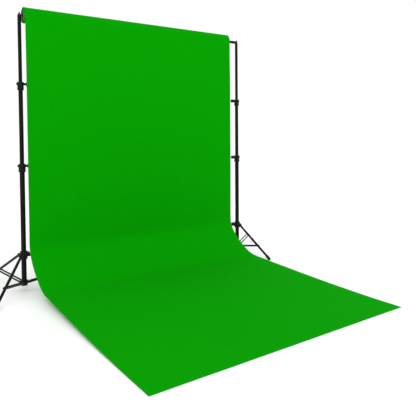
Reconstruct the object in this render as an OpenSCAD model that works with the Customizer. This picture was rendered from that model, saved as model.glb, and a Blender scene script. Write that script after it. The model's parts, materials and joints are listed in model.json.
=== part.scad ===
// Background support system: two three-section stands with folding tripod bases, a three-part
// crossbar between their tops, and a green seamless backdrop on a roll that hangs from the bar,
// sweeps forward in a soft curve and lies on the floor.
// Millimetres, +Z up, floor at Z = 0. X runs along the crossbar and the front is -Y.
// The origin is on the floor at the middle of the whole object's footprint.

/* [Stands] */
// Distance between the two stands' centre lines
stand_spacing = 2000; // [1950:10:2100]
// Height of the crossbar's axis above the floor
bar_height = 2000; // [1960:5:2020]
// Height of the top end of the bottom tube
bottom_tube_top = 896; // [860:1:910]
// Height of the top end of the left stand's middle tube
left_middle_top = 1491; // [1470:1:1500]
// Height of the top end of the right stand's middle tube
right_middle_top = 1432; // [1420:1:1450]
// Length of a middle tube
middle_length = 690; // [660:1:720]
// Length of a top tube
top_length = 640; // [600:1:660]

/* [Tubes] */
// Outer diameter of a bottom tube
bottom_d = 36; // [34:0.5:38]
// Outer diameter of a middle tube
middle_d = 31; // [29:0.5:31]
// Outer diameter of a top tube
top_d = 26; // [24:0.5:26]
// Outer diameter of the crossbar
bar_d = 25; // [22:0.5:25]
// Wall thickness of every tube
wall = 1.4; // [1:0.1:1.6]

/* [Tripod base] */
// Outer diameter of a leg tube
leg_d = 20; // [18:0.5:20]
// Distance from the pole's axis to the tip of a foot
foot_reach = 455; // [440:1:470]
// Radius of a rubber foot
foot_r = 12.5; // [12:0.5:12.5]
// Height of the pivots that hold the legs to the sliding collar
leg_pivot_z = 255; // [250:1:260]
// Distance from the pole's axis to a leg's pivot
leg_pivot_r = 42; // [40:1:44]
// Height of the pivots that hold the braces to the fixed hub
brace_pivot_z = 54; // [52:1:56]
// Distance from the pole's axis to a brace's pivot
brace_pivot_r = 34; // [33:1:36]
// Distance along a leg from its pivot to its brace's rivet
rivet_along_leg = 300; // [280:1:320]
// Direction of the left stand's first leg, in degrees from +X
left_first_leg = 112; // [112]
// Direction of the right stand's first leg, in degrees from +X
right_first_leg = 30; // [30]

/* [Backdrop] */
// Width of the backdrop
sheet_w = 1850; // [1780:10:1850]
// Middle of the backdrop, from halfway between the stands
sheet_x = -49; // [-50:1:0]
// Thickness of the backdrop's solid
sheet_t = 3; // [2:0.5:4]
// Distance from the stands' line to the backdrop's front edge
front_reach = 1854; // [1800:1:1900]
// Height where the hanging part starts to curve forward
sweep_h = 300; // [280:1:320]
// Depth of the tight part of the curve
bend_d = 325; // [300:5:400]
// Roundness of the tight part, where 2 is an ellipse
bend_power = 1.4; // [1.3:0.05:2]
// Height that the sheet still has at the end of a bend with no depth
ease_h = 72; // [0:1:80]
// Depth over which that height runs out, where the sheet first lies flat
ease_d = 1550; // [1400:10:1600]
// Outer radius of the backdrop still on the roll
roll_r = 56; // [50:1:60]
// Outer radius of the roll's core tube
core_r = 28.5; // [26:0.5:32]

/* [Hidden] */
$fn = 48;
pin_r = 3;
pin_gap = 0.05;
slide_gap = 0.3;
face_gap = 0.3;
pin_head_r = 5;
pin_head_h = 2;
hub_ear_half = 13;
strip_inner = hub_ear_half + 0.2;
strip_t = 2.5;
strip_h = 13;
leg_half = leg_d / 2;
ear_inner = leg_half + 0.5;
ear_t = 4;
screw_r = 4;
knob_neck = 34;
knob_start = 40;
knob_length = 22;
knob_r = 16;
hub_bottom = 32;
hub_floor = 5;
hub_top = 70;
hub_r = 24.5;
collar_half_h = 28;
collar_r = bottom_d / 2 + 8;
clamp_below = 34;
clamp_above = 26;
clamp_screw = 11;
clamp_wall = 6;
clamp_ring = 8;
boss_r = 9;
rear_boss_r = 8;
left_knob_at = 45;
right_knob_at = 105;
bush_collar_h = 10;
bush_plug_h = 16;
bush_wall = 3;
stud_length = 24;
flange_z = bar_height - 3;
top_tube_top = bar_height - 14;
tongue_t = 5;
tongue_start = 982;
tongue_half = 11;
nut_z = flange_z + tongue_t + 2 * face_gap;
nut_r = 7;
nut_h = 8;
wing_r = 6;
wing_t = 3;
wing_out = 9;
joint_x = tongue_start / 3;
spigot = 50;
core_wall = 3.5;
plug_flange_t = 4;
plug_depth = 40;
core_end = 4;
plug_bore_r = bar_d / 2 + 0.1;
half_spacing = stand_spacing / 2;
middle_x = -foot_reach * (cos(left_first_leg + 120) + cos(right_first_leg)) / 2;
left_x = middle_x - half_spacing;
right_x = middle_x + half_spacing;
rear_reach = foot_reach * sin(left_first_leg) + foot_r;
stand_y = (front_reach - rear_reach) / 2;
leg_drop = leg_pivot_z - foot_r;
leg_run = foot_reach - leg_pivot_r;
leg_length = sqrt(leg_drop * leg_drop + leg_run * leg_run);
leg_angle = atan2(leg_drop, leg_run);
rivet_r = leg_pivot_r + rivet_along_leg * cos(leg_angle);
rivet_z = leg_pivot_z - rivet_along_leg * sin(leg_angle);
brace_angle = atan2(rivet_z - brace_pivot_z, rivet_r - brace_pivot_r);
brace_length = norm([rivet_r - brace_pivot_r, rivet_z - brace_pivot_z]);
sheet_left = sheet_x - sheet_w / 2;
sheet_back_y = -roll_r - face_gap;
sheet_front_y = sheet_back_y - sheet_t;
bend_steps = 30;
ease_steps = 20;

// ---------- placing ----------

module at_stand(x) {
    translate([x, stand_y, 0]) children();
}

// Turns a shape drawn in the XZ plane to the leg's direction. The legs are 120 degrees apart.
module at_leg(x, first, i) {
    at_stand(x) rotate([0, 0, first + 120 * (i - 1)]) children();
}

module rod_x(from, to, r) {
    translate([from, 0, 0]) rotate([0, 90, 0]) cylinder(h = to - from, r = r);
}

module rod_z(from, to, r) {
    translate([0, 0, from]) cylinder(h = to - from, r = r);
}

// Turns a shape drawn along +X so that it points along +X or -X
module facing(dir) {
    rotate([0, 0, dir > 0 ? 0 : 180]) children();
}

module cross_rod(r, half) {
    rotate([90, 0, 0]) cylinder(h = 2 * half, r = r, center = true);
}

module tube(z, h, d) {
    translate([0, 0, z]) difference() {
        cylinder(h = h, r = d / 2);
        translate([0, 0, -1]) cylinder(h = h + 2, r = d / 2 - wall);
    }
}

// ---------- tripod base ----------

module leg_hub(x, first) {
    color("#1b1b1c") difference() {
        union() {
            at_stand(x) translate([0, 0, hub_bottom]) cylinder(h = hub_top - hub_bottom, r = hub_r);
            for (i = [1:3]) at_leg(x, first, i) translate([0, 0, brace_pivot_z]) {
                translate([hub_r - 6, -hub_ear_half, -8])
                    cube([brace_pivot_r - hub_r + 6, 2 * hub_ear_half, 16]);
                translate([brace_pivot_r, 0, 0]) cross_rod(8, hub_ear_half);
            }
        }
        at_stand(x) translate([0, 0, hub_bottom + hub_floor])
            cylinder(h = hub_top, r = bottom_d / 2 + pin_gap);
        for (i = [1:3]) at_leg(x, first, i) translate([brace_pivot_r, 0, brace_pivot_z])
            cross_rod(pin_r + pin_gap, hub_ear_half + 1);
    }
}

module pin_with_heads(half) {
    cross_rod(pin_r, half + 0.3);
    for (side = [-1, 1]) translate([0, side * (half + 0.2 + pin_head_h / 2), 0])
        cross_rod(pin_head_r, pin_head_h / 2);
}

module hub_pins(x, first) {
    color("#8d8f92") for (i = [1:3]) at_leg(x, first, i)
        translate([brace_pivot_r, 0, brace_pivot_z]) pin_with_heads(strip_inner + strip_t);
}

module collar_pins(x, first) {
    color("#8d8f92") for (i = [1:3]) at_leg(x, first, i)
        translate([leg_pivot_r, 0, leg_pivot_z]) pin_with_heads(ear_inner + ear_t);
}

module leg_collar(x, first, knob_at) {
    bore = bottom_d / 2 + slide_gap;
    color("#1b1b1c") difference() {
        union() {
            at_stand(x) translate([0, 0, leg_pivot_z - collar_half_h])
                cylinder(h = 2 * collar_half_h, r = collar_r);
            at_stand(x) translate([0, 0, leg_pivot_z]) rotate([0, 0, knob_at])
                rod_x(bore, knob_neck, boss_r);
            for (i = [1:3], side = [-1, 1]) at_leg(x, first, i)
                translate([0, side * (ear_inner + ear_t / 2), leg_pivot_z]) {
                    translate([collar_r - 9, -ear_t / 2, -leg_half - 1])
                        cube([leg_pivot_r - collar_r + 9, ear_t, leg_d + 2]);
                    translate([leg_pivot_r, 0, 0]) cross_rod(leg_half + 1, ear_t / 2);
                }
        }
        at_stand(x) translate([0, 0, leg_pivot_z - collar_half_h - 1])
            cylinder(h = 2 * collar_half_h + 2, r = bore);
        at_stand(x) translate([0, 0, leg_pivot_z]) rotate([0, 0, knob_at])
            rod_x(10, knob_neck + 1, screw_r + pin_gap);
        for (i = [1:3]) at_leg(x, first, i) translate([leg_pivot_r, 0, leg_pivot_z])
            cross_rod(pin_r + pin_gap, ear_inner + ear_t + 1);
    }
}

module leg(x, first, i) {
    color("#161617") at_leg(x, first, i) translate([leg_pivot_r, 0, leg_pivot_z])
        rotate([0, leg_angle, 0]) difference() {
            union() {
                cross_rod(leg_half, leg_half);
                translate([0, -leg_half, -8]) cube([14, leg_d, 16]);
                rod_x(12, leg_length - 6, leg_half);
            }
            rod_x(34, leg_length, leg_half - wall);
            cross_rod(pin_r + pin_gap, leg_d);
        }
}

module foot(x, first, i) {
    color("#232323") at_leg(x, first, i) translate([leg_pivot_r, 0, leg_pivot_z])
        rotate([0, leg_angle, 0]) difference() {
            union() {
                translate([leg_length, 0, 0]) sphere(r = foot_r);
                rod_x(leg_length - 36, leg_length, foot_r);
            }
            rod_x(leg_length - 40, leg_length - 6 + pin_gap, leg_half + pin_gap);
        }
}

// Two flat strips, one each side of the leg. The outer rivet's head stands on each strip, and
// its shank through the leg is left out, because this is where the linkage is open.
module brace(x, first, i) {
    color("#161617") at_leg(x, first, i) translate([brace_pivot_r, 0, brace_pivot_z])
        rotate([0, -brace_angle, 0]) for (side = [-1, 1])
            translate([0, side * (strip_inner + strip_t / 2), 0]) difference() {
                union() {
                    translate([0, -strip_t / 2, -strip_h / 2])
                        cube([brace_length, strip_t, strip_h]);
                    for (at = [0, brace_length]) translate([at, 0, 0])
                        cross_rod(strip_h / 2, strip_t / 2);
                    translate([brace_length, side * strip_t, 0]) cross_rod(pin_head_r, strip_t / 2);
                }
                cross_rod(pin_r + pin_gap, strip_t);
            }
}

// ---------- telescoping pole ----------

module bottom_tube(x) {
    bottom = hub_bottom + hub_floor;
    color("#161617") at_stand(x) tube(bottom, bottom_tube_top - bottom, bottom_d);
}

module section_tube(x, top, length, d) {
    color("#161617") at_stand(x) tube(top - length, length, d);
}

// A plastic bush on a tube's lower end, which guides it inside the wider tube
module guide_bush(x, z, d, outer_d) {
    color("#3a3a3c") at_stand(x) translate([0, 0, z]) difference() {
        union() {
            rod_z(-bush_collar_h, 0, outer_d / 2 - wall - slide_gap);
            rod_z(-1, bush_plug_h, d / 2 - wall - pin_gap);
        }
        rod_z(-bush_collar_h - 1, bush_plug_h + 1, d / 2 - wall - bush_wall);
    }
}

// A clamp fixed on the upper end of one tube, with a screw that grips the next tube.
// knob_dir is 1 when the knob points along +X and -1 when it points along -X.
module tube_clamp(x, tube_top, outer_d, inner_d, knob_dir) {
    color("#1b1b1c") at_stand(x) difference() {
        union() {
            rod_z(tube_top - clamp_below, tube_top + clamp_above, outer_d / 2 + clamp_wall);
            rod_z(tube_top - clamp_below + 8, tube_top - clamp_below + 14, outer_d / 2 + clamp_ring);
            rod_z(tube_top, tube_top + clamp_above - 4, outer_d / 2 + clamp_ring);
            translate([0, 0, tube_top + clamp_screw]) facing(knob_dir)
                rod_x(inner_d / 2, knob_neck, boss_r);
            translate([0, 0, tube_top + clamp_screw]) facing(-knob_dir)
                rod_x(inner_d / 2 + 4, outer_d / 2 + 13, rear_boss_r);
        }
        rod_z(tube_top - clamp_below - 1, tube_top, outer_d / 2 + pin_gap);
        rod_z(tube_top - 1, tube_top + clamp_above + 1, inner_d / 2 + slide_gap);
        translate([0, 0, tube_top + clamp_screw]) facing(knob_dir)
            rod_x(6, knob_neck + 1, screw_r + pin_gap);
    }
}

// A hand knob on its screw, drawn along +X from the pole's axis
module knob_shape(grip_r) {
    rod_x(grip_r + slide_gap + 0.1, knob_start + 2, screw_r);
    difference() {
        union() {
            rod_x(knob_neck + 1, knob_start, 8);
            rod_x(knob_start, knob_start + knob_length, knob_r);
        }
        for (k = [0:5]) rotate([60 * k, 0, 0]) translate([0, 0, knob_r + 4])
            rod_x(knob_start - 1, knob_start + knob_length + 1, 7.5);
    }
}

module clamp_knob(x, tube_top, inner_d, knob_dir) {
    color("#101011") at_stand(x) translate([0, 0, tube_top + clamp_screw])
        facing(knob_dir) knob_shape(inner_d / 2);
}

module collar_knob(x, knob_at) {
    color("#101011") at_stand(x) translate([0, 0, leg_pivot_z])
        rotate([0, 0, knob_at]) knob_shape(bottom_d / 2);
}

module top_stud(x) {
    color("#8d8f92") at_stand(x) {
        translate([0, 0, top_tube_top - 30]) cylinder(h = 31, r = top_d / 2 - wall - pin_gap);
        translate([0, 0, top_tube_top]) cylinder(h = flange_z - top_tube_top, r = top_d / 2);
        rod_z(flange_z - 1, flange_z + stud_length, pin_r);
    }
}

module wing_nut(x) {
    color("#8d8f92") at_stand(x) difference() {
        union() {
            rod_z(nut_z, nut_z + nut_h, nut_r);
            for (side = [-1, 1]) translate([-wing_t / 2, side * wing_out, nut_z + nut_h])
                rotate([0, 90, 0]) cylinder(h = wing_t, r = wing_r);
        }
        rod_z(nut_z - 1, nut_z + 20, pin_r + pin_gap);
    }
}

// ---------- crossbar ----------

module on_bar() {
    translate([middle_x, stand_y, bar_height]) children();
}

module bar_tube(from, to) {
    difference() {
        rod_x(from, to, bar_d / 2);
        rod_x(from - 1, to + 1, bar_d / 2 - wall);
    }
}

// An end section, drawn for the right side: a tube closed at its outer end, with a flat tongue
module bar_end() {
    tongue_z = face_gap + flange_z - bar_height;
    difference() {
        union() {
            bar_tube(joint_x, tongue_start - 2);
            rod_x(tongue_start - 6, tongue_start, bar_d / 2);
            translate([tongue_start - 3, -tongue_half, tongue_z])
                cube([half_spacing - tongue_start + 3, 2 * tongue_half, tongue_t]);
            translate([half_spacing, 0, tongue_z]) cylinder(h = tongue_t, r = tongue_half);
        }
        translate([half_spacing, 0, -10]) cylinder(h = 20, r = pin_r + 0.5);
    }
}

module crossbar_end(dir) {
    color("#161617") on_bar() mirror([dir > 0 ? 0 : 1, 0, 0]) bar_end();
}

module crossbar_centre() {
    color("#161617") on_bar() {
        bar_tube(-joint_x + slide_gap, joint_x - slide_gap);
        for (dir = [0, 1]) mirror([dir, 0, 0]) difference() {
            rod_x(joint_x - spigot, joint_x + spigot, bar_d / 2 - wall - pin_gap);
            rod_x(joint_x - spigot - 1, joint_x + spigot + 1, bar_d / 2 - 2 * wall);
            rod_x(joint_x - spigot - 1, joint_x - spigot + 1, bar_d);
        }
        for (dir = [0, 1]) mirror([dir, 0, 0]) difference() {
            rod_x(joint_x - 20, joint_x - 10, bar_d / 2 - 0.5);
            rod_x(joint_x - 21, joint_x - 9, bar_d / 2 - 2 * wall);
        }
    }
}

// ---------- backdrop ----------

module ring_x(from, to, r, hole_r) {
    difference() {
        rod_x(from, to, r);
        rod_x(from - 1, to + 1, hole_r);
    }
}

module core_tube() {
    color("#b9a487") on_bar()
        ring_x(sheet_left - core_end, sheet_left + sheet_w + core_end, core_r, core_r - core_wall);
}

module core_plugs() {
    inner = core_r - core_wall - pin_gap;
    color("#2a2a2c") on_bar() for (end = [0, 1])
        translate([end * 2 * sheet_x, 0, 0]) mirror([end, 0, 0]) core_plug(inner);
}

// One plug, drawn at the roll's left end: a flange against the core and a barrel inside it
module core_plug(inner) {
    start = sheet_left - core_end;
    difference() {
        union() {
            rod_x(start - plug_flange_t, start - pin_gap, core_r + 2);
            rod_x(start - 1, start + plug_depth, inner);
        }
        rod_x(start - plug_flange_t - 1, start + plug_depth + 1, plug_bore_r);
    }
}

module backdrop_roll() {
    color("#0aa000") on_bar() ring_x(sheet_left, sheet_left + sheet_w, roll_r, core_r + pin_gap);
}

module backdrop_hang() {
    color("#0aa000") translate([middle_x + sheet_left, stand_y + sheet_front_y, sweep_h])
        cube([sheet_w, sheet_t, bar_height - sweep_h]);
}

// Height that the sheet keeps above the floor past the bend, at a distance forward of the
// hanging part's back face
function ease_up(d) = ease_h * pow(max(1 - max(d - sheet_t, 0) / ease_d, 0), 1.3);

// A point of the bend, as [distance forward, height]. inset is 0 on the under side and the
// sheet's thickness on the upper side.
function bend_point(t, inset) =
    let (
        forward = inset + (bend_d - inset) * (1 - pow(cos(t), 2 / bend_power)),
        up = inset + (sweep_h - ease_h - inset) * (1 - pow(sin(t), 2 / bend_power))
    )
    [forward, up + ease_up(forward)];

function ease_point(k, inset) =
    let (d = bend_d + (ease_d + sheet_t - bend_d) * k / ease_steps)
    [d, inset + ease_up(d)];

module backdrop_sweep() {
    upper = [for (k = [0:bend_steps]) bend_point(90 * k / bend_steps, sheet_t)];
    upper_flat = [for (k = [1:ease_steps]) ease_point(k, sheet_t)];
    under = [for (k = [bend_steps:-1:0]) bend_point(90 * k / bend_steps, 0)];
    under_flat = [for (k = [ease_steps:-1:1]) ease_point(k, 0)];
    front = front_reach + sheet_back_y;
    edge = [[front, sheet_t], [front, 0]];
    color("#0aa000") translate([middle_x + sheet_left, stand_y + sheet_back_y, 0]) rotate([90, 0, 90])
        linear_extrude(height = sheet_w)
            mirror([1, 0]) polygon(concat(upper, upper_flat, edge, under_flat, under));
}

// ---------- nodes ----------

bottom_tube(left_x);  // left_bottom_tube
leg_hub(left_x, left_first_leg);  // left_leg_hub
hub_pins(left_x, left_first_leg);  // left_hub_pins
leg_collar(left_x, left_first_leg, left_knob_at);  // left_leg_collar
collar_pins(left_x, left_first_leg);  // left_collar_pins
collar_knob(left_x, left_knob_at);  // left_collar_knob
leg(left_x, left_first_leg, 1);  // left_leg_1
leg(left_x, left_first_leg, 2);  // left_leg_2
leg(left_x, left_first_leg, 3);  // left_leg_3
foot(left_x, left_first_leg, 1);  // left_foot_1
foot(left_x, left_first_leg, 2);  // left_foot_2
foot(left_x, left_first_leg, 3);  // left_foot_3
brace(left_x, left_first_leg, 1);  // left_brace_1
brace(left_x, left_first_leg, 2);  // left_brace_2
brace(left_x, left_first_leg, 3);  // left_brace_3
tube_clamp(left_x, bottom_tube_top, bottom_d, middle_d, 1);  // left_lower_clamp
clamp_knob(left_x, bottom_tube_top, middle_d, 1);  // left_lower_knob
section_tube(left_x, left_middle_top, middle_length, middle_d);  // left_middle_tube
guide_bush(left_x, left_middle_top - middle_length, middle_d, bottom_d);  // left_middle_bush
tube_clamp(left_x, left_middle_top, middle_d, top_d, 1);  // left_upper_clamp
clamp_knob(left_x, left_middle_top, top_d, 1);  // left_upper_knob
section_tube(left_x, top_tube_top, top_length, top_d);  // left_top_tube
guide_bush(left_x, top_tube_top - top_length, top_d, middle_d);  // left_top_bush
top_stud(left_x);  // left_top_stud
wing_nut(left_x);  // left_wing_nut
bottom_tube(right_x);  // right_bottom_tube
leg_hub(right_x, right_first_leg);  // right_leg_hub
hub_pins(right_x, right_first_leg);  // right_hub_pins
leg_collar(right_x, right_first_leg, right_knob_at);  // right_leg_collar
collar_pins(right_x, right_first_leg);  // right_collar_pins
collar_knob(right_x, right_knob_at);  // right_collar_knob
leg(right_x, right_first_leg, 1);  // right_leg_1
leg(right_x, right_first_leg, 2);  // right_leg_2
leg(right_x, right_first_leg, 3);  // right_leg_3
foot(right_x, right_first_leg, 1);  // right_foot_1
foot(right_x, right_first_leg, 2);  // right_foot_2
foot(right_x, right_first_leg, 3);  // right_foot_3
brace(right_x, right_first_leg, 1);  // right_brace_1
brace(right_x, right_first_leg, 2);  // right_brace_2
brace(right_x, right_first_leg, 3);  // right_brace_3
tube_clamp(right_x, bottom_tube_top, bottom_d, middle_d, -1);  // right_lower_clamp
clamp_knob(right_x, bottom_tube_top, middle_d, -1);  // right_lower_knob
section_tube(right_x, right_middle_top, middle_length, middle_d);  // right_middle_tube
guide_bush(right_x, right_middle_top - middle_length, middle_d, bottom_d);  // right_middle_bush
tube_clamp(right_x, right_middle_top, middle_d, top_d, -1);  // right_upper_clamp
clamp_knob(right_x, right_middle_top, top_d, -1);  // right_upper_knob
section_tube(right_x, top_tube_top, top_length, top_d);  // right_top_tube
guide_bush(right_x, top_tube_top - top_length, top_d, middle_d);  // right_top_bush
top_stud(right_x);  // right_top_stud
wing_nut(right_x);  // right_wing_nut
crossbar_end(-1);  // crossbar_left
crossbar_centre();
crossbar_end(1);  // crossbar_right
core_tube();
core_plugs();
backdrop_roll();
backdrop_hang();
backdrop_sweep();
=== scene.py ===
"""Studio background support system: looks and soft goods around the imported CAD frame.

Units are metres. X runs along the crossbar, the front is -Y, and the floor is Z = 0.
"""
import json
import math

import bmesh
import bpy
from mathutils import Matrix, Vector


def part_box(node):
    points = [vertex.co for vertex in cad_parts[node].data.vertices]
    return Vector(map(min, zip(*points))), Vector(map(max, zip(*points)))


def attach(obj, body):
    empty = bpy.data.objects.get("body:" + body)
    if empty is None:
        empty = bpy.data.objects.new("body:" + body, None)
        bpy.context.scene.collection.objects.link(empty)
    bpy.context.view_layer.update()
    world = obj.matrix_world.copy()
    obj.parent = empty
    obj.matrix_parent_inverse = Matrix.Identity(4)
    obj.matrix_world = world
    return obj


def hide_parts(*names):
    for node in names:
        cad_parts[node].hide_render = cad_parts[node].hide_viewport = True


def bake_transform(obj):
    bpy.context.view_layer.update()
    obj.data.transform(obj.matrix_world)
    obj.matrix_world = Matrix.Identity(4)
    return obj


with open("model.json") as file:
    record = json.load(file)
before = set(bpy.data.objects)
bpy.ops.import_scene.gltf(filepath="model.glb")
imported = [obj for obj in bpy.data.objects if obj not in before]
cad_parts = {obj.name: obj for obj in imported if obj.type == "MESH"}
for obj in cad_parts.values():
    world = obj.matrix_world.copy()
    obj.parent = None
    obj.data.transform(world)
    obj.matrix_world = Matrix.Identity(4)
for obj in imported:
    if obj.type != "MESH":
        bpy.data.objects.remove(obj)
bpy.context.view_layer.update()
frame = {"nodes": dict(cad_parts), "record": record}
NODES = frame["nodes"]
SIDES = ("left", "right")


# ---------------------------------------------------------------- camera, light and stage

VIEW_YAW, VIEW_PITCH, VIEW_ROLL = (math.radians(a) for a in (35.3, -1.9, -0.4))
VIEW_FROM_STANDS = Vector((-1.968, -3.713, 1.132))  # from the point between the stands' feet
LENS_MM, SENSOR_MM, SHIFT_UP = 42.7, 36.0, -0.127


def middle(node):
    low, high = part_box(node)
    return (Vector(low) + Vector(high)) / 2


STAND_Y = middle("left_bottom_tube").y
POLE_X = {side: middle(f"{side}_bottom_tube").x for side in SIDES}


def make_camera():
    forward = Vector(
        (
            math.sin(VIEW_YAW) * math.cos(VIEW_PITCH),
            math.cos(VIEW_YAW) * math.cos(VIEW_PITCH),
            math.sin(VIEW_PITCH),
        )
    )
    level = Vector((math.cos(VIEW_YAW), -math.sin(VIEW_YAW), 0))
    above = level.cross(forward)
    right = level * math.cos(VIEW_ROLL) + above * math.sin(VIEW_ROLL)
    up = above * math.cos(VIEW_ROLL) - level * math.sin(VIEW_ROLL)
    data = bpy.data.cameras.new("camera")
    data.lens, data.sensor_width, data.shift_y = LENS_MM, SENSOR_MM, SHIFT_UP
    camera = bpy.data.objects.new("camera", data)
    bpy.context.collection.objects.link(camera)
    turn = Matrix((right, up, -forward)).transposed().to_4x4()
    place = Vector((sum(POLE_X.values()) / 2, STAND_Y, 0)) + VIEW_FROM_STANDS
    camera.matrix_world = Matrix.Translation(place) @ turn
    bpy.context.scene.camera = camera


def area_light(name, place, target, size, power):
    data = bpy.data.lights.new(name, "AREA")
    data.shape, data.size, data.energy = "SQUARE", size, power
    lamp = bpy.data.objects.new(name, data)
    bpy.context.collection.objects.link(lamp)
    lamp.location = place
    lamp.rotation_euler = (Vector(target) - Vector(place)).to_track_quat("-Z", "Y").to_euler()


def make_light():
    world = bpy.data.worlds.new("studio")
    bpy.context.scene.world = world
    world.use_nodes = True
    sky = world.node_tree.nodes["Background"]
    sky.inputs["Color"].default_value = (1, 1, 1, 1)
    sky.inputs["Strength"].default_value = 1.03
    area_light("key", (-3.2, -4.2, 4.6), (0, 0, 0.8), 3.0, 70)
    area_light("fill", (3.8, -3.6, 3.4), (0, 0.3, 0.9), 3.5, 30)
    area_light("back", (0.5, 4.6, 3.6), (0, 0.5, 1.2), 3.0, 40)
    bpy.context.scene.view_settings.view_transform = "Standard"


def make_stage():
    size = 30
    mesh = bpy.data.meshes.new("studio_floor")
    corners = [(-size, -size, 0), (size, -size, 0), (size, size, 0), (-size, size, 0)]
    mesh.from_pydata(corners, [], [(0, 1, 2, 3)])
    floor = bpy.data.objects.new("studio_floor", mesh)
    bpy.context.collection.objects.link(floor)
    paint = bpy.data.materials.new("floor_white")
    paint.use_nodes = True
    shader = paint.node_tree.nodes["Principled BSDF"]
    shader.inputs["Base Color"].default_value = (0.98, 0.98, 0.98, 1)
    shader.inputs["Roughness"].default_value = 0.95
    shader.inputs["Specular IOR Level"].default_value = 0.0
    mesh.materials.append(paint)


# ---------------------------------------------------------------- materials


class Shader:
    """A material's node tree with one Principled shader, and short ways to add to it."""

    def __init__(self, name, **inputs):
        self.material = bpy.data.materials.new(name)
        self.material.use_nodes = True
        self.nodes = self.material.node_tree.nodes
        self.links = self.material.node_tree.links
        self.bsdf = self.nodes["Principled BSDF"]
        for key, value in inputs.items():
            self.bsdf.inputs[key.replace("_", " ")].default_value = value
        self.coords = self.nodes.new("ShaderNodeTexCoord")

    def add(self, kind, **values):
        node = self.nodes.new(kind)
        for key, value in values.items():
            if hasattr(node, key):
                setattr(node, key, value)
            else:
                node.inputs[key.replace("_", " ")].default_value = value
        return node

    def link(self, source, target):
        self.links.new(source, target)

    def noise(self, scale, detail=3.0, stretch=(1, 1, 1), coords="Object"):
        place = self.add("ShaderNodeMapping", Scale=stretch)
        self.link(self.coords.outputs[coords], place.inputs["Vector"])
        noise = self.add("ShaderNodeTexNoise", Scale=scale, Detail=detail)
        self.link(place.outputs["Vector"], noise.inputs["Vector"])
        return noise.outputs["Fac"]

    def ramp(self, source, low, high, start=0.3, end=0.7):
        node = self.add("ShaderNodeMapRange")
        node.inputs["From Min"].default_value = start
        node.inputs["From Max"].default_value = end
        node.inputs["To Min"].default_value = low
        node.inputs["To Max"].default_value = high
        self.link(source, node.inputs["Value"])
        return node.outputs["Result"]

    def mix(self, source, first, second):
        node = self.add("ShaderNodeMix", data_type="RGBA")
        self.link(source, node.inputs["Factor"])
        for key, value in (("A", first), ("B", second)):
            socket = [s for s in node.inputs if s.name == key and s.type == "RGBA"][0]
            if hasattr(value, "is_output"):
                self.link(value, socket)
            else:
                socket.default_value = (*value, 1)
        return [s for s in node.outputs if s.type == "RGBA"][0]

    def math(self, kind, first, second=None):
        node = self.add("ShaderNodeMath", operation=kind)
        for socket, value in zip(node.inputs, (first, second)):
            if value is None:
                continue
            if hasattr(value, "is_output"):
                self.link(value, socket)
            else:
                socket.default_value = value
        return node.outputs[0]

    def bump(self, height, strength, distance, under=None):
        node = self.add("ShaderNodeBump", Strength=strength, Distance=distance)
        self.link(height, node.inputs["Height"])
        if under is not None:
            self.link(under, node.inputs["Normal"])
        self.link(node.outputs["Normal"], self.bsdf.inputs["Normal"])
        return node.outputs["Normal"]

    def colour(self, source):
        self.link(source, self.bsdf.inputs["Base Color"])

    def rough(self, source):
        self.link(source, self.bsdf.inputs["Roughness"])


def anodised_tube():
    """Black satin tube: drawn along its length, a little dusty, lighter where handled."""
    s = Shader("black_tube", Specular_IOR_Level=0.13)
    drawn = s.noise(900, 2, (1, 1, 0.01))
    handled = s.noise(5, 4)
    tone = s.mix(s.ramp(handled, 0, 1, 0.35, 0.75), (0.0012, 0.0012, 0.0013), (0.005, 0.005, 0.0053))
    s.colour(tone)
    s.rough(s.ramp(handled, 0.27, 0.42))
    s.bump(drawn, 0.12, 0.0002)
    return s.material


def moulded_plastic(name, dark, light, rough):
    """Glass-filled nylon: a fine spark-eroded grain and faint rubbed patches."""
    s = Shader(name, Specular_IOR_Level=0.16)
    grain = s.noise(2600, 2)
    rubbed = s.noise(28, 4)
    s.colour(s.mix(s.ramp(rubbed, 0, 1, 0.4, 0.75), dark, light))
    s.rough(s.ramp(rubbed, rough + 0.07, rough - 0.07))
    s.bump(grain, 0.22, 0.0003)
    return s.material


def painted_strip():
    s = Shader("black_strip", Specular_IOR_Level=0.16)
    worn = s.noise(60, 5)
    peel = s.noise(1400, 2)
    s.colour(s.mix(s.ramp(worn, 0, 1, 0.62, 0.78), (0.002, 0.002, 0.0022), (0.015, 0.0147, 0.0144)))
    s.rough(s.ramp(worn, 0.3, 0.5))
    s.bump(peel, 0.12, 0.0003)
    return s.material


def foot_rubber():
    s = Shader("foot_rubber", Specular_IOR_Level=0.2)
    dust = s.noise(90, 5)
    s.colour(s.mix(s.ramp(dust, 0, 1, 0.45, 0.8), (0.005, 0.005, 0.005), (0.025, 0.024, 0.022)))
    s.rough(s.ramp(dust, 0.7, 0.92))
    s.bump(s.noise(1800, 3), 0.3, 0.0004)
    return s.material


def black_zinc():
    """Black zinc plating, worn towards bare steel in small patches."""
    s = Shader("black_zinc", Metallic=1.0)
    scuff = s.noise(150, 5)
    s.colour(s.mix(s.ramp(scuff, 0, 1, 0.55, 0.8), (0.022, 0.022, 0.024), (0.11, 0.11, 0.112)))
    s.rough(s.ramp(scuff, 0.25, 0.42))
    s.bump(s.noise(1200, 3, (1, 1, 8)), 0.15, 0.0002)
    return s.material


def core_board():
    """Spiral-wound board: brown paper plies."""
    s = Shader("core_board", Specular_IOR_Level=0.2)
    fibres = s.noise(700, 4, (0.15, 1, 1))
    patches = s.noise(30, 3)
    tone = s.mix(s.ramp(fibres, 0, 1), (0.36, 0.26, 0.16), (0.5, 0.38, 0.25))
    s.colour(s.mix(s.ramp(patches, 0, 0.5), tone, (0.42, 0.33, 0.23)))
    s.rough(s.ramp(patches, 0.8, 0.95))
    s.bump(fibres, 0.3, 0.0003)
    return s.material


# The first green is painted shade, laid in the gaps between the threads of the weave; the other two
# are the cloth's own greens.
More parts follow.
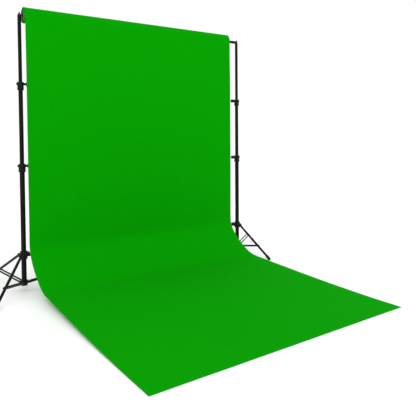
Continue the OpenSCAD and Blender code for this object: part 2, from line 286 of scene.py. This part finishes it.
GREEN_GAP_SHADE, GREEN, GREEN_LIGHT = (0.001, 0.26, 0.0002), (0.0018, 0.32, 0.0003), (0.0025, 0.35, 0.0005)
WEAVE_PITCH = 0.0011


def backdrop_cloth():
    """Close plain weave in chroma green. The UV map is in metres along and across the sheet."""
    s = Shader(
        "chroma_cloth",
        Roughness=0.95,
        Specular_IOR_Level=0.02,
        Sheen_Weight=0.03,
        Sheen_Roughness=0.5,
        Sheen_Tint=(0.1, 1.0, 0.08, 1),
    )
    split = s.add("ShaderNodeSeparateXYZ")
    s.link(s.coords.outputs["UV"], split.inputs["Vector"])
    turn = math.pi / WEAVE_PITCH
    threads = [
        s.math("ABSOLUTE", s.math("SINE", s.math("MULTIPLY", split.outputs[axis], turn)))
        for axis in ("X", "Y")
    ]
    over = s.add("ShaderNodeTexChecker", Scale=1 / WEAVE_PITCH)
    s.link(s.coords.outputs["UV"], over.inputs["Vector"])
    flat = s.math("MULTIPLY", over.outputs["Fac"], threads[0])
    other = s.math("MULTIPLY", s.math("SUBTRACT", 1.0, over.outputs["Fac"]), threads[1])
    weave = s.math("ADD", flat, other)
    slub = s.noise(260, 3, (1, 0.04, 1), "UV")
    cross_slub = s.noise(260, 3, (0.04, 1, 1), "UV")
    cloud = s.noise(2.2, 3)
    # Painted shade: the colour darkens from each thread's crown to its edges, where the threads dip
    # under each other, on top of the bump below.
    tone = s.mix(s.ramp(weave, 0, 1, 0.0, 1.0), GREEN_GAP_SHADE, GREEN)
    lighter = s.math("MULTIPLY", s.ramp(slub, 0, 0.5, 0.45, 0.8), s.ramp(cloud, 0.3, 1.0))
    s.colour(s.mix(lighter, tone, GREEN_LIGHT))
    first = s.bump(weave, 0.25, 0.0003)
    s.bump(s.math("ADD", slub, cross_slub), 0.06, 0.0004, first)
    return s.material


def stitch_thread():
    s = Shader("stitch_thread", Roughness=0.6, Specular_IOR_Level=0.3, Sheen_Weight=0.2)
    twist = s.noise(3000, 2, (1, 1, 0.2))
    s.colour(s.mix(s.ramp(twist, 0, 1), (0.002, 0.2, 0.001), (0.004, 0.32, 0.002)))
    s.bump(twist, 0.3, 0.0002)
    return s.material


# ---------------------------------------------------------------- mesh helpers


def object_from(mesh, name, *materials):
    thing = bpy.data.objects.new(name, mesh)
    bpy.context.collection.objects.link(thing)
    for material in materials:
        mesh.materials.append(material)
    return thing


def apply_modifiers(thing):
    graph = bpy.context.evaluated_depsgraph_get()
    done = bpy.data.meshes.new_from_object(thing.evaluated_get(graph))
    old = thing.data
    thing.modifiers.clear()
    thing.data = done
    bpy.data.meshes.remove(old)


def smooth(mesh, angle=35):
    for face in mesh.polygons:
        face.use_smooth = True
    mesh.set_sharp_from_angle(angle=math.radians(angle))


def body_of(node):
    for body, members in frame["record"]["behaviour"]["bodies"].items():
        if node in members:
            return body
    raise KeyError(node)


def slot_of(node):
    return next(s["material_slot"] for s in frame["record"]["subparts"] if s["node"] == node)


def rounded(node, material, width):
    """A copy of a CAD node's mesh with every sharp edge rounded, which stands for the node."""
    source = NODES[node].data
    mesh = bpy.data.meshes.new(f"{node}_shape")
    work = bmesh.new()
    work.from_mesh(source)
    bmesh.ops.remove_doubles(work, verts=work.verts, dist=1e-6)
    bmesh.ops.dissolve_limit(
        work, angle_limit=math.radians(1), verts=work.verts, edges=work.edges
    )
    work.to_mesh(mesh)
    work.free()
    mesh.materials.clear()
    piece = object_from(mesh, f"{node}_finished", material)
    for face in mesh.polygons:
        face.material_index = 0
    bevel = piece.modifiers.new("bevel", "BEVEL")
    bevel.width, bevel.segments = width, 2
    bevel.limit_method, bevel.angle_limit = "ANGLE", math.radians(40)
    bevel.use_clamp_overlap = True
    apply_modifiers(piece)
    smooth(piece.data, 30)
    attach(piece, body_of(node))
    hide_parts(node)


# ---------------------------------------------------------------- backdrop

SHEET_T = 0.0008
HEM_W, HEM_T = 0.014, 0.0008
SPLIT_Z = 1.15
BEND_DEPTH, BEND_POWER = 0.325, 1.4
EASE_RISE, EASE_DEPTH, EASE_POWER = 0.072, 1.55, 1.3
ROLL_PITCH = 0.00115
WRAP_DEGREES = 345  # of the sheet's first turn round the roll
LIE_Z = 0.0011
SHEET_STEP = 0.02
HEM_EDGE = 0.0006  # how far from a fold the hem reaches its full thickness


def ease_up(forward):
    """The height that the sheet still keeps above the floor, past its bend."""
    return EASE_RISE * max(1 - forward / EASE_DEPTH, 0) ** EASE_POWER


def sheet_path():
    """The sheet's middle line from its front edge, over the floor and up to the roll, as
    (y, z) points. It lies inside the CAD solids of the swept and hanging parts."""
    sweep_low, sweep_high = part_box("backdrop_sweep")
    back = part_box("backdrop_hang")[1][1] - SHEET_T
    reach, rise = back - sweep_low[1], sweep_high[2] - EASE_RISE
    line = []
    for k in range(60):
        forward = reach + (BEND_DEPTH - reach) * k / 60
        line.append((back - forward, LIE_Z + ease_up(forward)))
    for k in range(60, -1, -1):
        t = math.radians(90 * k / 60)
        forward = BEND_DEPTH * (1 - max(math.cos(t), 0) ** (2 / BEND_POWER))
        up = (rise - LIE_Z) * (1 - max(math.sin(t), 0) ** (2 / BEND_POWER))
        line.append((back - forward, LIE_Z + up + ease_up(forward)))
    return line, back


def spaced(points, step):
    """The same line with points about a step apart."""
    lengths = [0.0]
    for a, b in zip(points, points[1:]):
        lengths.append(lengths[-1] + math.dist(a, b))
    count = max(2, round(lengths[-1] / step))
    made, k = [], 0
    for i in range(count + 1):
        want = lengths[-1] * i / count
        while k < len(points) - 2 and lengths[k + 1] < want:
            k += 1
        part = (want - lengths[k]) / max(lengths[k + 1] - lengths[k], 1e-9)
        made.append(tuple(a + (b - a) * part for a, b in zip(points[k], points[k + 1])))
    return made, lengths[-1]


def softened(line, passes=5):
    """The same line with its tightest bends eased, as cloth with some body takes them."""
    for _ in range(passes):
        inner = [
            tuple((a + 2 * b + c) / 4 for a, b, c in zip(line[i - 1], line[i], line[i + 1]))
            for i in range(1, len(line) - 1)
        ]
        line = [line[0], *inner, line[-1]]
    return line


def normals_of(line):
    """Unit normals of a (y, z) line, on the side of the sheet that faces the subject."""
    made = []
    for i in range(len(line)):
        a, b = line[max(i - 1, 0)], line[min(i + 1, len(line) - 1)]
        dy, dz = b[0] - a[0], b[1] - a[1]
        size = math.hypot(dy, dz)
        made.append((-dz / size, dy / size))
    return made


def ease(value, low, high):
    t = min(max((value - low) / (high - low), 0), 1)
    return t * t * (3 - 2 * t)


def ripple(x, run, y, z):
    """How far the sheet stands off its middle line: long soft waves, still at the roll,
    along the middle of the sweep, and where it lies on the floor."""
    hanging = ease(z, 0.25, 0.8) * (1 - ease(z, 1.55, 1.92))
    wave = 0.0022 * math.sin(2 * math.pi * (x / 0.61 + 0.13)) * math.sin(1.7 * z + 0.6)
    wave += 0.0012 * math.sin(2 * math.pi * (x / 0.23 + 0.4 * z))
    lying = ease(-y, 0.45, 0.9)
    low = 0.0008 * (1 + math.sin(2 * math.pi * (x / 0.47 + run / 0.9)))
    return hanging * (wave + 0.0034) + lying * low


def hem_at(u, width, run):
    """1 in the doubled hem along a side edge or the front edge, and 0 elsewhere."""
    return 1 if min(u, width - u, run) < HEM_W - HEM_EDGE / 2 else 0


def build_sheet(name, line, run_start, x_low, x_high, cloth):
    """A closed sheet along a (y, z) line, with a doubled hem along its edges."""
    width = x_high - x_low
    inner = [HEM_W + (width - 2 * HEM_W) * k / 64 for k in range(65)]
    near = [0, HEM_EDGE, HEM_W - HEM_EDGE]
    across = [*near, *inner, *(width - u for u in reversed(near))]
    sides = normals_of(line)
    mesh = bpy.data.meshes.new(name)
    work = bmesh.new()
    uv = work.loops.layers.uv.new("sheet")
    rows, run = [], run_start
    for i, ((y, z), (ny, nz)) in enumerate(zip(line, sides)):
        if i:
            run += math.dist(line[i - 1], line[i])
        faces = ([], [])
        for u in across:
            x = x_low + u
            off = ripple(x, run, y, z)
            hem = hem_at(u, width, run)
            rim = 0.35 if min(u, width - u, run) < HEM_EDGE / 2 else 1
            half = (SHEET_T + hem * HEM_T) / 2 * rim
            middle_off = off + hem * HEM_T / 2
            for side, sign in ((0, 1), (1, -1)):
                reach = middle_off + sign * half
                faces[side].append((work.verts.new((x, y + ny * reach, z + nz * reach)), (u, run)))
        rows.append(faces)

    def quad(a, b, c, d):
        face = work.faces.new([p[0] for p in (a, b, c, d)])
        face.smooth = True
        for loop, p in zip(face.loops, (a, b, c, d)):
            loop[uv].uv = p[1]

    last = len(across) - 1
    for (f0, b0), (f1, b1) in zip(rows, rows[1:]):
        for j in range(last):
            quad(f0[j], f0[j + 1], f1[j + 1], f1[j])
            quad(b0[j + 1], b0[j], b1[j], b1[j + 1])
        quad(f0[0], f1[0], b1[0], b0[0])
        quad(f1[last], f0[last], b0[last], b1[last])
    for row, order in ((rows[0], 1), (rows[-1], -1)):
        for j in range(last):
            ends = (row[0][j], row[1][j], row[1][j + 1], row[0][j + 1])
            quad(*ends[::order])
    bmesh.ops.recalc_face_normals(work, faces=work.faces)
    work.to_mesh(mesh)
    work.free()
    piece = object_from(mesh, name, cloth)
    smooth(mesh, 50)
    return piece


def wrap_line(centre_y, centre_z, radius):
    """One turn of cloth round the roll, from the nip behind the hanging part, under the
    roll, up its back and over its top to the front, as (y, z) points in reverse order."""
    steps = 72
    made = []
    for k in range(steps + 1):
        turn = math.radians(180 - WRAP_DEGREES * k / steps)
        r = radius - 0.0007 * k / steps
        made.append((centre_y + r * math.cos(turn), centre_z + r * math.sin(turn)))
    return made


def make_backdrop(cloth, thread):
    low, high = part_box("backdrop_roll")
    x_low, x_high = low[0], high[0]
    centre_y, centre_z = (low[1] + high[1]) / 2, (low[2] + high[2]) / 2
    roll_r = (high[2] - low[2]) / 2
    lying, back = sheet_path()
    lower_line, lower_run = spaced(lying + [(back, SPLIT_Z)], SHEET_STEP)
    lower_line = softened(lower_line)
    (edge_y, edge_z), rest = lower_line[0], lower_line[1:]
    hem_steps = (0, HEM_EDGE, HEM_W - HEM_EDGE, HEM_W)
    lower_line = [(edge_y + step, edge_z) for step in hem_steps] + rest
    wrap = wrap_line(centre_y, centre_z, centre_y - back)
    hanging = [(back, SPLIT_Z), (back, centre_z - SHEET_STEP)]
    straight, straight_run = spaced(hanging, SHEET_STEP)
    upper_line = straight + wrap
    wrap_run = sum(math.dist(a, b) for a, b in zip(wrap, wrap[1:]))

    lower = build_sheet("backdrop_lower", lower_line, 0, x_low, x_high, cloth)
    upper = build_sheet("backdrop_upper", upper_line, lower_run, x_low, x_high, cloth)
    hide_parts("backdrop_sweep")
    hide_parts("backdrop_hang")
    sheets = (
        (lower, lower_line, 0, lower_run, "draped", "studio_floor"),
        (upper, upper_line, lower_run, straight_run + wrap_run, "hung", "core_tube"),
    )
    for piece, line, start, length, held, base in sheets:
        stitches = hem_stitches(f"{piece.name}_stitches", line, start, x_low, x_high, thread)
        blend_sheet(stitches)
        blend_sheet(piece)
    wound_roll(x_low, x_high, centre_y, centre_z, roll_r, cloth)


def blend_sheet(piece):
    """Bakes the piece's placement into its mesh; the lower and upper halves are treated alike."""
    if piece.name.startswith("backdrop_lower"):
        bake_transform(piece)
    else:
        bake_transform(piece)


def wound_roll(x_low, x_high, centre_y, centre_z, roll_r, cloth):
    """The sheet still on the roll: one long strip wound in a spiral, as its ends show."""
    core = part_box("core_tube")
    core_r = (core[1][2] - core[0][2]) / 2
    first = core_r + SHEET_T / 2 + 0.0001
    last = roll_r - 0.0012
    turns = (last - first) / ROLL_PITCH
    steps = int(turns * 56)
    line = []
    for k in range(steps + 1):
        turn = 2 * math.pi * turns * k / steps
        r = first + ROLL_PITCH * turn / (2 * math.pi)
        line.append((centre_y + r * math.cos(turn), centre_z + r * math.sin(turn)))
    mesh = bpy.data.meshes.new("backdrop_wound")
    work = bmesh.new()
    uv = work.loops.layers.uv.new("sheet")
    sides = normals_of(line)
    across = [x_low, x_low + 0.002, x_high - 0.002, x_high]
    ring = []
    length = 0
    for i, ((y, z), (ny, nz)) in enumerate(zip(line, sides)):
        if i:
            length += math.dist(line[i - 1], line[i])
        row = []
        for sign in (1, -1):
            for x in across if sign > 0 else reversed(across):
                half = sign * SHEET_T / 2
                vert = work.verts.new((x, y + ny * half, z + nz * half))
                row.append((vert, (x - x_low, length)))
        ring.append(row)
    count = len(ring[0])
    for a, b in zip(ring, ring[1:]):
        for j in range(count):
            corners = (a[j], a[(j + 1) % count], b[(j + 1) % count], b[j])
            face = work.faces.new([c[0] for c in corners])
            face.smooth = True
            for loop, c in zip(face.loops, corners):
                loop[uv].uv = c[1]
    for row in (ring[0], ring[-1]):
        work.faces.new([c[0] for c in row])
    bmesh.ops.recalc_face_normals(work, faces=work.faces)
    work.to_mesh(mesh)
    work.free()
    piece = object_from(mesh, "backdrop_wound", cloth)
    smooth(mesh, 50)
    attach(piece, "roll")
    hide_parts("backdrop_roll")


STITCH_PITCH, STITCH_L, STITCH_R = 0.005, 0.0034, 0.00035
STITCH_IN = HEM_W - 0.002  # from the sheet's edge


def hem_stitches(name, line, run_start, x_low, x_high, thread):
    """One row of stitches on the front and back of each side hem."""
    made, _ = spaced(line, STITCH_PITCH)
    sides = normals_of(made)
    mesh = bpy.data.meshes.new(name)
    work = bmesh.new()
    run = run_start
    for i in range(1, len(made) - 1):
        (y, z), (ny, nz) = made[i], sides[i]
        run += math.dist(made[i - 1], made[i])
        along = Vector((0, nz, -ny))
        out = Vector((0, ny, nz))
        for x in (x_low + STITCH_IN, x_high - STITCH_IN):
            off = ripple(x, run, y, z)
            for reach in (off + HEM_T + SHEET_T / 2, off - SHEET_T / 2):
                centre = Vector((x, y, z)) + out * reach
                stitch(work, centre, along, out if reach > off else -out)
    if run_start == 0:
        front_stitches(work, made[0], x_low, x_high)
    work.to_mesh(mesh)
    work.free()
    piece = object_from(mesh, name, thread)
    smooth(mesh, 60)
    return piece


def front_stitches(work, edge, x_low, x_high):
    """The rows of stitches along the front edge's hem."""
    y, z = edge[0] + STITCH_IN, edge[1]
    count = int((x_high - x_low - 2 * HEM_W) / STITCH_PITCH)
    for i in range(count):
        x = x_low + HEM_W + i * STITCH_PITCH
        off = ripple(x, HEM_W, y, z)
        for reach, side in ((off + HEM_T + SHEET_T / 2, 1), (off - SHEET_T / 2, -1)):
            stitch(work, Vector((x, y, z + reach)), Vector((1, 0, 0)), Vector((0, 0, side)))


def stitch(work, centre, along, out):
    """A low dome of thread, closed underneath."""
    side = along.cross(out)
    half = STITCH_L / 2
    shape = ((-half, 0), (-half * 0.6, STITCH_R), (half * 0.6, STITCH_R), (half, 0))
    rows = []
    for run, lift in shape:
        wide = STITCH_R * (0.35 if lift == 0 else 1)
        base = centre + along * run
        rows.append(
            [
                work.verts.new(base - side * wide),
                work.verts.new(base + out * lift),
                work.verts.new(base + side * wide),
            ]
        )
    for a, b in zip(rows, rows[1:]):
        for j in range(3):
            work.faces.new((a[j], a[(j + 1) % 3], b[(j + 1) % 3], b[j]))
    work.faces.new(rows[0][::-1])
    work.faces.new(rows[-1])


# ---------------------------------------------------------------- hardware


EDGE_WIDTHS = {
    "leg_hub": 0.0016,
    "leg_collar": 0.0016,
    "collar_knob": 0.0018,
    "lower_clamp": 0.0014,
    "lower_knob": 0.0018,
    "upper_clamp": 0.0014,
    "upper_knob": 0.0018,
    "wing_nut": 0.0008,
    "hub_pins": 0.0006,
    "collar_pins": 0.0006,
    "top_stud": 0.0005,
}
BASE_EDGE_WIDTHS = {"leg": 0.0006, "foot": 0.0012, "brace": 0.0005}


def finish_hardware(looks):
    """Every hard node gets its material; those with moulded or cut edges are rounded."""
    widths = {}
    for side in SIDES:
        for part, width in EDGE_WIDTHS.items():
            widths[f"{side}_{part}"] = width
        for k in (1, 2, 3):
            for part, width in BASE_EDGE_WIDTHS.items():
                widths[f"{side}_{part}_{k}"] = width
    for node, width in widths.items():
        rounded(node, looks[slot_of(node)], width)
    for node, thing in NODES.items():
        if node in widths or node.startswith("backdrop"):
            continue
        slots = thing.data.materials
        if not slots:
            slots.append(None)
        for k in range(len(slots)):
            slots[k] = looks[slot_of(node)]


def lathe(work, centre, axis, profile, segments=40, closed=False):
    """Adds a turned shape: profile is (distance along axis, radius) points. A closed profile
    makes a ring; an open one gets flat ends."""
    axis = axis.normalized()
    u = axis.orthogonal().normalized()
    v = axis.cross(u)
    rings = []
    for along, radius in profile:
        ring = []
        for k in range(segments):
            turn = 2 * math.pi * k / segments
            out = u * math.cos(turn) + v * math.sin(turn)
            ring.append(work.verts.new(centre + axis * along + out * radius))
        rings.append(ring)
    pairs = list(zip(rings, rings[1:] + rings[:1] if closed else rings[1:]))
    for a, b in pairs:
        for k in range(segments):
            n = (k + 1) % segments
            work.faces.new((a[k], a[n], b[n], b[k]))
    if not closed:
        work.faces.new(rings[0][::-1])
        work.faces.new(rings[-1])


def ring_profile(along, radius, half_width, rise):
    """A low half-round band round a cylinder of that radius, sunk 0.3 mm into it."""
    sunk = radius - 0.0003
    made = [(along + half_width, sunk), (along - half_width, sunk)]
    for k in range(9):
        turn = math.pi * k / 8
        made.append((along - half_width * math.cos(turn), radius + rise * math.sin(turn)))
    return made


def finish_piece(work, name, material, body):
    """Turns a bmesh into a visible piece that rides a body."""
    mesh = bpy.data.meshes.new(name)
    bmesh.ops.recalc_face_normals(work, faces=work.faces)
    work.to_mesh(mesh)
    work.free()
    piece = object_from(mesh, name, material)
    smooth(mesh, 40)
    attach(piece, body)


LEG_PIVOT_R, LEG_PIVOT_Z, FOOT_R = 0.042, 0.255, 0.0125
FOOT_BANDS = (0.008, 0.018, 0.028)  # from the foot's round end towards the leg


def foot_ribs(side, k, looks):
    """Three moulded bands round a foot's sleeve."""
    pole = Vector((POLE_X[side], STAND_Y, 0))
    out = middle(f"{side}_foot_{k}") - pole
    out.z = 0
    out.normalize()
    pivot = pole + out * LEG_PIVOT_R + Vector((0, 0, LEG_PIVOT_Z))
    reach = max((v.co - pole).dot(out) for v in NODES[f"{side}_foot_{k}"].data.vertices)
    centre = pole + out * (reach - FOOT_R) + Vector((0, 0, FOOT_R))
    axis = (centre - pivot).normalized()
    work = bmesh.new()
    for step in FOOT_BANDS:
        lathe(work, centre, axis, ring_profile(-step, FOOT_R, 0.0016, 0.0008), 36, closed=True)
    body = f"{side}_leg_{k}_and_foot"
    finish_piece(work, f"{side}_foot_ribs_{k}", looks["rubber"], body)


def stud_thread(side, looks):
    """The thread on the stud's free end: one ridge wound up it above the wing nut."""
    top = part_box(f"{side}_top_stud")[1][2] - 0.0008
    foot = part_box(f"{side}_wing_nut")[1][2] - 0.0055
    radius, pitch, rise = 0.003, 0.001, 0.00028
    root, flank = radius - 0.0002, pitch * 0.42
    per_turn = 24
    steps = int((top - foot) / pitch * per_turn)
    centre = Vector((POLE_X[side], STAND_Y, foot))
    work = bmesh.new()
    rows = []
    for i in range(steps + 1):
        turn = 2 * math.pi * i / per_turn
        out = Vector((math.cos(turn), math.sin(turn), 0))
        fade = min(1, i / per_turn, (steps - i) / per_turn)
        lift = pitch * i / per_turn
        ridge = ((root, -flank), (radius + rise * fade, 0), (root, flank))
        row = [centre + out * r + Vector((0, 0, lift + z)) for r, z in ridge]
        rows.append([work.verts.new(place) for place in row])
    for a, b in zip(rows, rows[1:]):
        for k in range(3):
            work.faces.new((a[k], a[(k + 1) % 3], b[(k + 1) % 3], b[k]))
    work.faces.new(rows[0][::-1])
    work.faces.new(rows[-1])
    finish_piece(work, f"{side}_stud_thread", looks["steel"], f"{side}_top")


CLAMP_BELOW, CLAMP_SCREW, CLAMP_WALL = 0.034, 0.011, 0.006
CLAMP_RIBS, RIB_FOOT, RIB_L, RIB_R = 18, 0.0165, 0.016, 0.0014


def clamp_details(side, level, looks):
    """Grip ribs round a tube clamp's sleeve, and the socket screw in its rear boss."""
    low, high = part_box(f"{side}_{level}_clamp")
    body = body_of(f"{side}_{level}_clamp")
    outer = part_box(f"{side}_{'bottom' if level == 'lower' else 'middle'}_tube")
    radius = (outer[1][1] - outer[0][1]) / 2
    toward = 1 if side == "left" else -1
    pole = Vector((POLE_X[side], STAND_Y, 0))
    base = low[2]
    work = bmesh.new()
    tip = (RIB_R - 0.0008, RIB_R)
    profile = [(0, tip[0]), (0.0008, tip[1]), (RIB_L - 0.0008, tip[1]), (RIB_L, tip[0])]
    for k in range(CLAMP_RIBS):
        turn = 2 * math.pi * (k + 0.5) / CLAMP_RIBS
        out = Vector((math.cos(turn), math.sin(turn), 0))
        centre = pole + out * (radius + CLAMP_WALL - RIB_R / 2) + Vector((0, 0, base + RIB_FOOT))
        lathe(work, centre, Vector((0, 0, 1)), profile, 12)
    finish_piece(work, f"{side}_{level}_clamp_ribs", looks["casting"], body)
    work = bmesh.new()
    end = low[0] if toward > 0 else high[0]
    centre = Vector((end, STAND_Y, base + CLAMP_BELOW + CLAMP_SCREW))
    profile = [
        (-0.001, 0.0046),
        (0.0006, 0.0046),
        (0.0012, 0.0041),
        (0.0012, 0.0026),
        (-0.0006, 0.0024),
    ]
    lathe(work, centre, Vector((-toward, 0, 0)), profile, 36)
    finish_piece(work, f"{side}_{level}_clamp_screw", looks["steel"], body)


def plug_details(looks):
    """A raised rim and six ribs on the outer face of each roll plug."""
    low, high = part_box("core_plugs")
    centre_y, centre_z = (low[1] + high[1]) / 2, (low[2] + high[2]) / 2
    rim = (high[2] - low[2]) / 2
    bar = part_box("crossbar_centre")
    bore = (bar[1][2] - bar[0][2]) / 2
    for name, x, way in (("left", low[0], -1), ("right", high[0], 1)):
        work = bmesh.new()
        centre = Vector((x, centre_y, centre_z))
        axis = Vector((way, 0, 0))
        for radius, half in ((rim - 0.0022, 0.0014), (bore + 0.0028, 0.0014)):
            profile = [
                (-0.0005, radius - half),
                (0.0007, radius - half * 0.7),
                (0.0007, radius + half * 0.7),
                (-0.0005, radius + half),
            ]
            lathe(work, centre, axis, profile, 64, closed=True)
        for k in range(6):
            turn = math.pi * k / 3
            out = Vector((0, math.cos(turn), math.sin(turn)))
            start = centre + out * (bore + 0.003) - axis * 0.0004
            length = rim - bore - 0.0056
            profile = [(0, 0.0008), (0.0004, 0.001), (length - 0.0004, 0.001), (length, 0.0008)]
            lathe(work, start, out, profile, 12)
        finish_piece(work, f"{name}_plug_face", looks["bush"], "roll")


def add_details(looks):
    for side in SIDES:
        for k in (1, 2, 3):
            foot_ribs(side, k, looks)
        stud_thread(side, looks)
        for level in ("lower", "upper"):
            clamp_details(side, level, looks)
    plug_details(looks)


# ---------------------------------------------------------------- the whole


def main():
    make_camera()
    make_light()
    make_stage()
    nylon = ((0.0025, 0.0025, 0.0027), (0.009, 0.009, 0.0094))
    knob = ((0.002, 0.002, 0.0022), (0.008, 0.008, 0.0084))
    acetal = ((0.012, 0.012, 0.013), (0.025, 0.025, 0.026))
    looks = {
        "tube": anodised_tube(),
        "casting": moulded_plastic("black_nylon", *nylon, 0.42),
        "knob": moulded_plastic("black_knob", *knob, 0.36),
        "strip": painted_strip(),
        "rubber": foot_rubber(),
        "steel": black_zinc(),
        "bush": moulded_plastic("dark_acetal", *acetal, 0.4),
        "core": core_board(),
        "backdrop": backdrop_cloth(),
    }
    finish_hardware(looks)
    add_details(looks)
    make_backdrop(looks["backdrop"], stitch_thread())


main()
